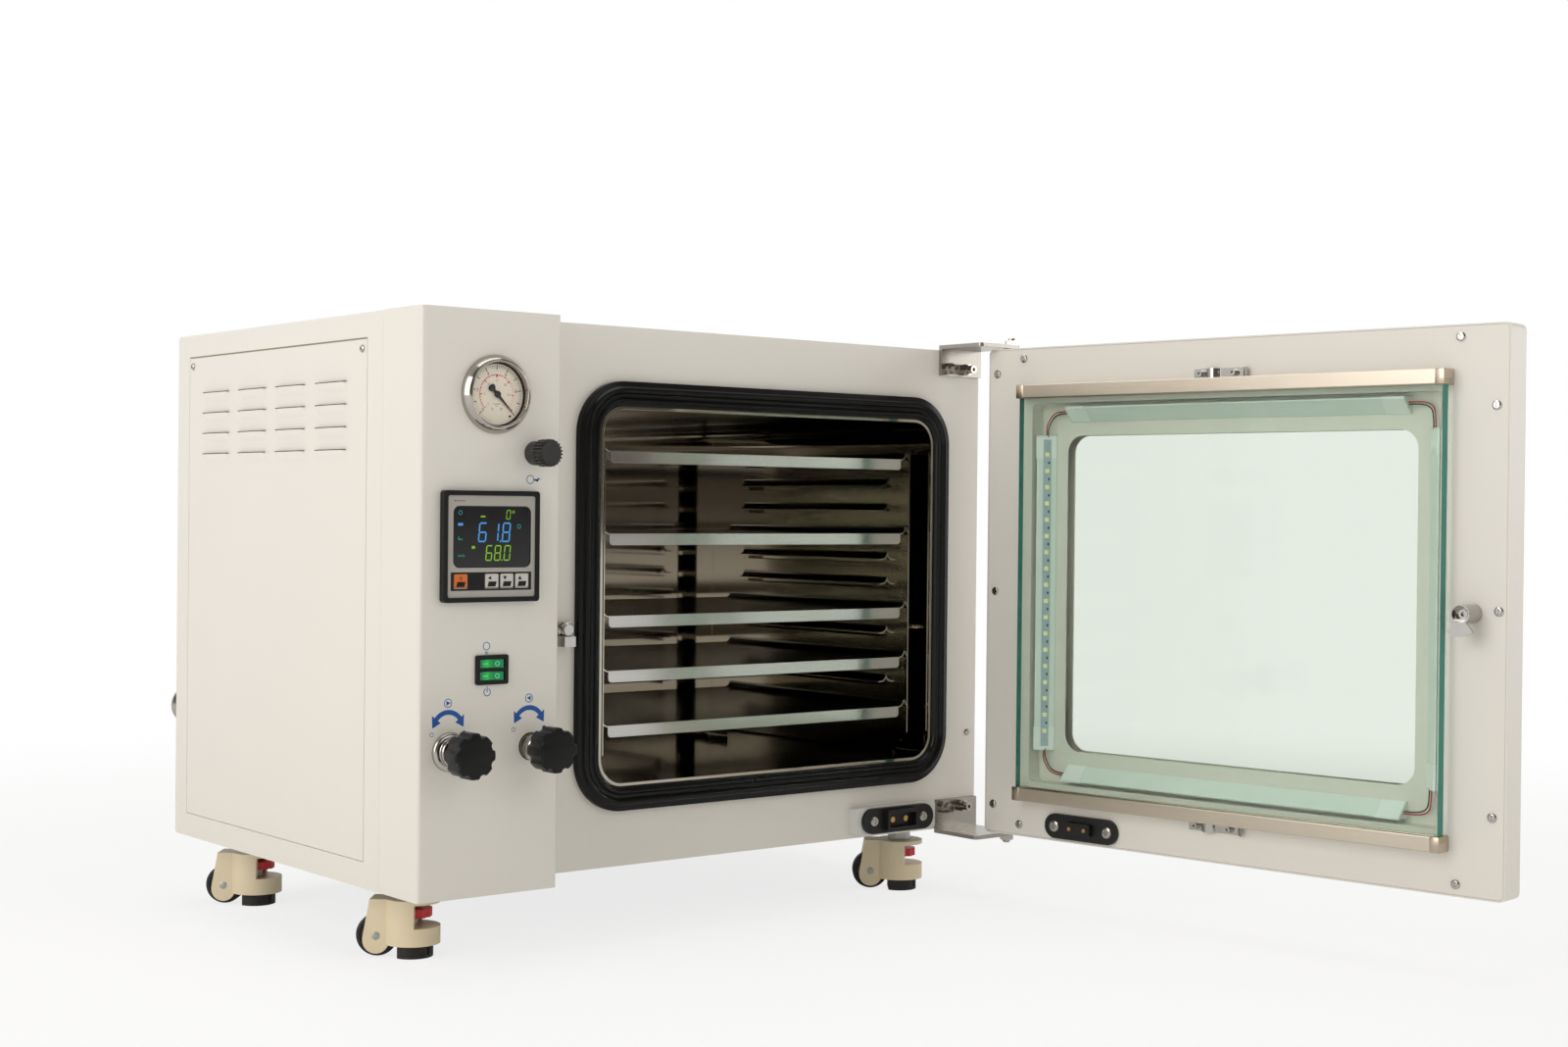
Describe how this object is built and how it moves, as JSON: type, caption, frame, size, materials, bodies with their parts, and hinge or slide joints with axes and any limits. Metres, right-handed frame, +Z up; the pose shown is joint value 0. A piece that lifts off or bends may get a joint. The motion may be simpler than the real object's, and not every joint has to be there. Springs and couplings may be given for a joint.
{
  "type": "vacuum oven",
  "caption": "Bench-top vacuum oven on casters with a glazed lit door, slide-out shelves, control column with gauge, keys, rocker switches and two valve knobs.",
  "frame": {"origin": "on the floor, under the middle of the part's bounding box with the door standing open 97.5 degrees", "axes": "+X to the oven's right seen from the front, +Y to the back, +Z up"},
  "size_m": [0.8194, 1.089, 0.5895],
  "materials": {
    "body_paint": "warm off-white powder coat, fine texture",
    "zinc_steel": "zinc-plated sheet",
    "chamber_steel": "bright polished stainless",
    "lagging": "mineral wool",
    "heater_rubber": "silicone heating mat",
    "seal_rubber": "black silicone, satin",
    "fitting_steel": "satin stainless",
    "bright_chrome": "polished",
    "lens_glass": "clear gloss",
    "black_plastic": "satin black",
    "panel_plastic": "matt black",
    "orange_key": "satin",
    "grey_key": "satin",
    "green_rocker": "translucent green",
    "white_plastic": "white",
    "caster_nylon": "cream nylon",
    "wheel_rubber": "black",
    "foot_plastic": "red adjuster on a dark pad",
    "door_glass": "slightly green, clear",
    "bar_steel": "brushed, warm"
  },
  "bodies": {
    "cabinet": {"cabinet_shell": "body_paint", "base_plate": "zinc_steel", "back_panel": "body_paint", "front_fascia": "body_paint", "control_column": "body_paint", "access_panel": "body_paint", "chamber": "chamber_steel", "insulation": "lagging", "heater_mats": "heater_rubber", "door_gasket": "seal_rubber", "shelf_racks": "chamber_steel", "gauge_case": "fitting_steel", "gauge_lens": "lens_glass", "vent_body": "black_plastic", "controller_case": "panel_plastic", "switch_housing": "panel_plastic", "valve_bodies": "fitting_steel", "vacuum_pipework": "fitting_steel", "power_inlet": "black_plastic", "door_strike": "bright_chrome", "lamp_socket": "black_plastic", "hinge_brackets": "fitting_steel", "cabinet_fasteners": "fitting_steel"},
    "door": {"door_shell": "body_paint", "door_liner": "body_paint", "window_pane": "door_glass", "inner_glass": "door_glass", "glass_bars": "bar_steel", "lamp_profiles": "white_plastic", "door_fittings": "bright_chrome", "lamp_plug": "black_plastic"},
    "latch": {"latch_cam": "bright_chrome", "door_handle": "black_plastic"},
    "shelf_1": {"shelf_1": "chamber_steel"},
    "shelf_2": {"shelf_2": "chamber_steel"},
    "shelf_3": {"shelf_3": "chamber_steel"},
    "shelf_4": {"shelf_4": "chamber_steel"},
    "shelf_5": {"shelf_5": "chamber_steel"},
    "gauge_needle": {"gauge_needle": "black_plastic"},
    "vent_cap": {"vent_cap": "black_plastic"},
    "key_menu": {"key_menu": "orange_key"},
    "key_shift": {"key_shift": "grey_key"},
    "key_down": {"key_down": "grey_key"},
    "key_up": {"key_up": "grey_key"},
    "light_rocker": {"light_rocker": "green_rocker"},
    "power_rocker": {"power_rocker": "green_rocker"},
    "pump_knob": {"pump_knob": "black_plastic"},
    "inlet_knob": {"inlet_knob": "black_plastic"},
    "caster_frame_1": {"caster_frame_1": "caster_nylon"},
    "caster_frame_2": {"caster_frame_2": "caster_nylon"},
    "caster_frame_3": {"caster_frame_3": "caster_nylon"},
    "caster_frame_4": {"caster_frame_4": "caster_nylon"},
    "caster_wheel_1": {"caster_wheel_1": "wheel_rubber"},
    "caster_wheel_2": {"caster_wheel_2": "wheel_rubber"},
    "caster_wheel_3": {"caster_wheel_3": "wheel_rubber"},
    "caster_wheel_4": {"caster_wheel_4": "wheel_rubber"},
    "caster_foot_1": {"caster_foot_1": "foot_plastic"},
    "caster_foot_2": {"caster_foot_2": "foot_plastic"},
    "caster_foot_3": {"caster_foot_3": "foot_plastic"},
    "caster_foot_4": {"caster_foot_4": "foot_plastic"}
  },
  "joints": [
    {"name": "door_hinge", "type": "hinge", "parent": "cabinet", "child": "door", "pos_m": [0.29982, 0.01599, 0.324], "axis": [0, 0, 1], "range_deg": [-97.5, 40]},
    {"name": "latch_turn", "type": "hinge", "parent": "door", "child": "latch", "pos_m": [0.34163, -0.51227, 0.322], "axis": [-0.9914, -0.1305, 0], "range_deg": [0, 50]},
    {"name": "shelf_1_slide", "type": "slide", "parent": "cabinet", "child": "shelf_1", "axis": [0, -1, 0], "range_m": [0, 0.25]},
    {"name": "shelf_2_slide", "type": "slide", "parent": "cabinet", "child": "shelf_2", "axis": [0, -1, 0], "range_m": [0, 0.25]},
    {"name": "shelf_3_slide", "type": "slide", "parent": "cabinet", "child": "shelf_3", "axis": [0, -1, 0], "range_m": [0, 0.25]},
    {"name": "shelf_4_slide", "type": "slide", "parent": "cabinet", "child": "shelf_4", "axis": [0, -1, 0], "range_m": [0, 0.25]},
    {"name": "shelf_5_slide", "type": "slide", "parent": "cabinet", "child": "shelf_5", "axis": [0, -1, 0], "range_m": [0, 0.25]},
    {"name": "gauge_sweep", "type": "hinge", "parent": "cabinet", "child": "gauge_needle", "pos_m": [-0.33368, 0.00849, 0.504], "axis": [0, -1, 0], "range_deg": [0, 270]},
    {"name": "vent_cap_turn", "type": "hinge", "parent": "cabinet", "child": "vent_cap", "pos_m": [-0.29368, -0.00651, 0.454], "axis": [0, -1, 0], "continuous": true},
    {"name": "key_menu_press", "type": "slide", "parent": "cabinet", "child": "key_menu", "axis": [0, 1, 0], "range_m": [0, 0.001], "stiffness_N_per_m": 400},
    {"name": "key_shift_press", "type": "slide", "parent": "cabinet", "child": "key_shift", "axis": [0, 1, 0], "range_m": [0, 0.001], "stiffness_N_per_m": 400},
    {"name": "key_down_press", "type": "slide", "parent": "cabinet", "child": "key_down", "axis": [0, 1, 0], "range_m": [0, 0.001], "stiffness_N_per_m": 400},
    {"name": "key_up_press", "type": "slide", "parent": "cabinet", "child": "key_up", "axis": [0, 1, 0], "range_m": [0, 0.001], "stiffness_N_per_m": 400},
    {"name": "light_switch", "type": "hinge", "parent": "cabinet", "child": "light_rocker", "pos_m": [-0.33593, 0.01649, 0.27135], "axis": [0, 0, 1], "range_deg": [0, 16]},
    {"name": "power_switch", "type": "hinge", "parent": "cabinet", "child": "power_rocker", "pos_m": [-0.33593, 0.01649, 0.26035], "axis": [0, 0, 1], "range_deg": [0, 16]},
    {"name": "pump_valve", "type": "hinge", "parent": "cabinet", "child": "pump_knob", "pos_m": [-0.37668, -0.02251, 0.197], "axis": [0, -1, 0], "range_deg": [0, 90]},
    {"name": "inlet_valve", "type": "hinge", "parent": "cabinet", "child": "inlet_knob", "pos_m": [-0.29468, -0.02251, 0.197], "axis": [0, -1, 0], "range_deg": [0, 90]},
    {"name": "caster_1_swivel", "type": "hinge", "parent": "cabinet", "child": "caster_frame_1", "pos_m": [-0.34568, 0.12649, 0.04], "axis": [0, 0, 1], "continuous": true},
    {"name": "caster_1_roll", "type": "hinge", "parent": "caster_frame_1", "child": "caster_wheel_1", "pos_m": [-0.36977, 0.146, 0.02], "axis": [0.6293, 0.7771, 0], "continuous": true},
    {"name": "caster_1_jack", "type": "slide", "parent": "caster_frame_1", "child": "caster_foot_1", "axis": [0, 0, 1], "range_m": [0, 0.0045]},
    {"name": "caster_2_swivel", "type": "hinge", "parent": "cabinet", "child": "caster_frame_2", "pos_m": [0.24732, 0.12649, 0.04], "axis": [0, 0, 1], "continuous": true},
    {"name": "caster_2_roll", "type": "hinge", "parent": "caster_frame_2", "child": "caster_wheel_2", "pos_m": [0.22323, 0.146, 0.02], "axis": [0.6293, 0.7771, 0], "continuous": true},
    {"name": "caster_2_jack", "type": "slide", "parent": "caster_frame_2", "child": "caster_foot_2", "axis": [0, 0, 1], "range_m": [0, 0.0045]},
    {"name": "caster_3_swivel", "type": "hinge", "parent": "cabinet", "child": "caster_frame_3", "pos_m": [-0.34568, 0.44649, 0.04], "axis": [0, 0, 1], "continuous": true},
    {"name": "caster_3_roll", "type": "hinge", "parent": "caster_frame_3", "child": "caster_wheel_3", "pos_m": [-0.36977, 0.466, 0.02], "axis": [0.6293, 0.7771, 0], "continuous": true},
    {"name": "caster_3_jack", "type": "slide", "parent": "caster_frame_3", "child": "caster_foot_3", "axis": [0, 0, 1], "range_m": [0, 0.0045]},
    {"name": "caster_4_swivel", "type": "hinge", "parent": "cabinet", "child": "caster_frame_4", "pos_m": [0.24732, 0.44649, 0.04], "axis": [0, 0, 1], "continuous": true},
    {"name": "caster_4_roll", "type": "hinge", "parent": "caster_frame_4", "child": "caster_wheel_4", "pos_m": [0.22323, 0.466, 0.02], "axis": [0.6293, 0.7771, 0], "continuous": true},
    {"name": "caster_4_jack", "type": "slide", "parent": "caster_frame_4", "child": "caster_foot_4", "axis": [0, 0, 1], "range_m": [0, 0.0045]}
  ]
}
